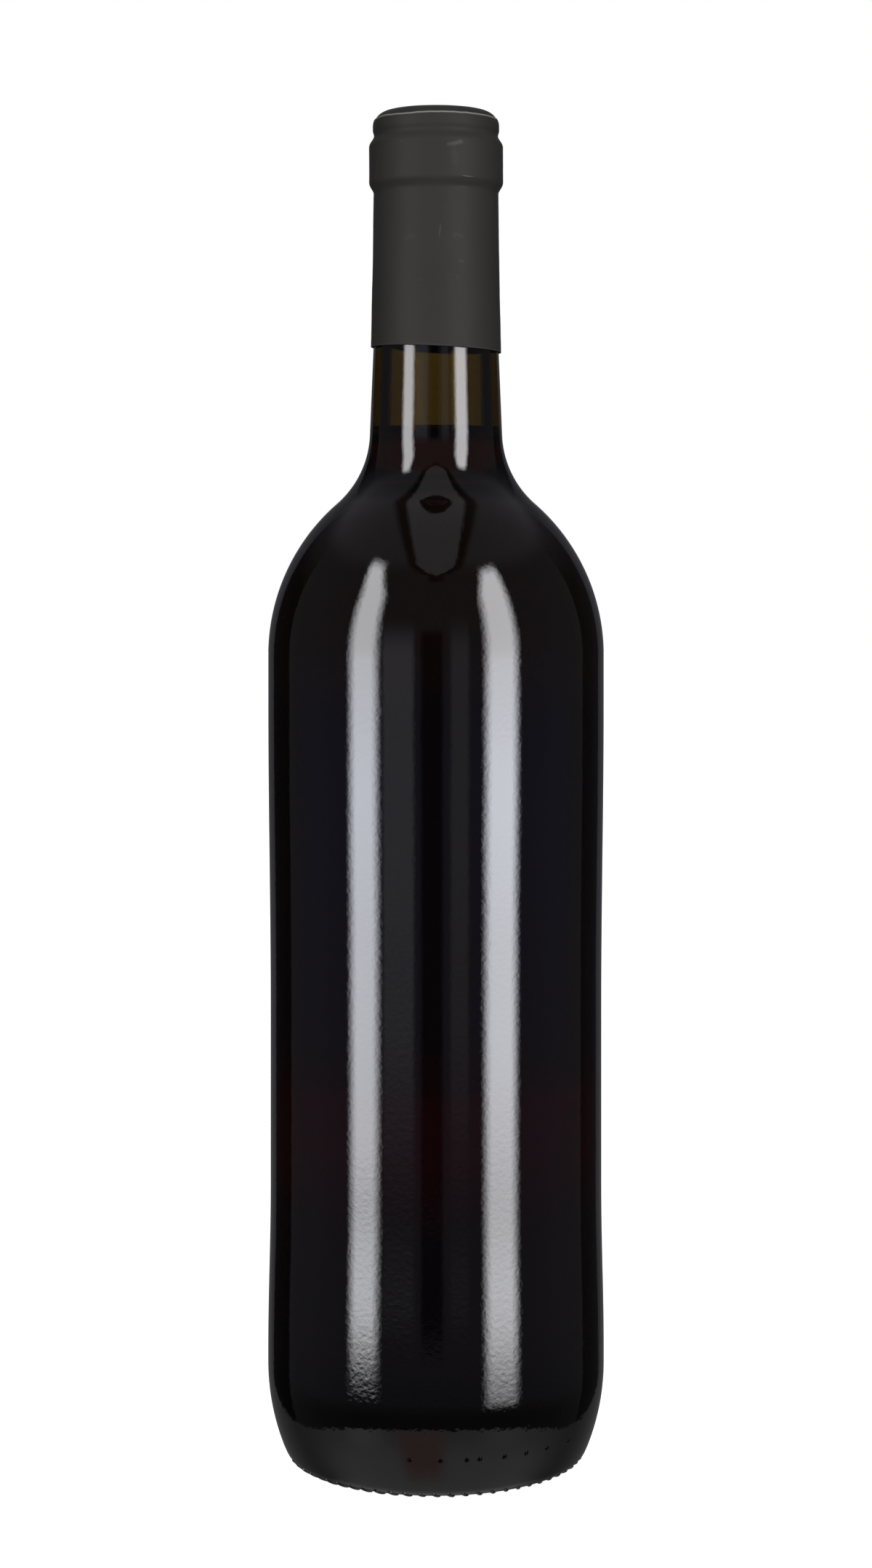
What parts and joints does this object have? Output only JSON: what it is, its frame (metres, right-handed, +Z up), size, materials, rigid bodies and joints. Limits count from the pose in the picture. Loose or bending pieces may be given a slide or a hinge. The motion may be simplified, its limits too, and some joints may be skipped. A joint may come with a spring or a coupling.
{
  "type": "wine bottle",
  "caption": "Sealed dark glass wine bottle with high round shoulders, a straight neck, a shrunk charcoal capsule, red wine inside and no label.",
  "frame": {"origin": "centre of the ring that the bottle stands on, at the lowest point", "axes": "+Z up along the bottle's axis of revolution, towards the capsule; -Y is the front, where the row of heel dots begins"},
  "size_m": [0.0752, 0.0752, 0.3011],
  "materials": {
    "glass": "gloss",
    "wine": "gloss",
    "capsule": "matte",
    "disc": "satin"
  },
  "bodies": {
    "root": {"bottle_glass": "glass", "wine": "wine", "capsule_sleeve": "capsule", "capsule_disc": "disc"}
  },
  "joints": []
}
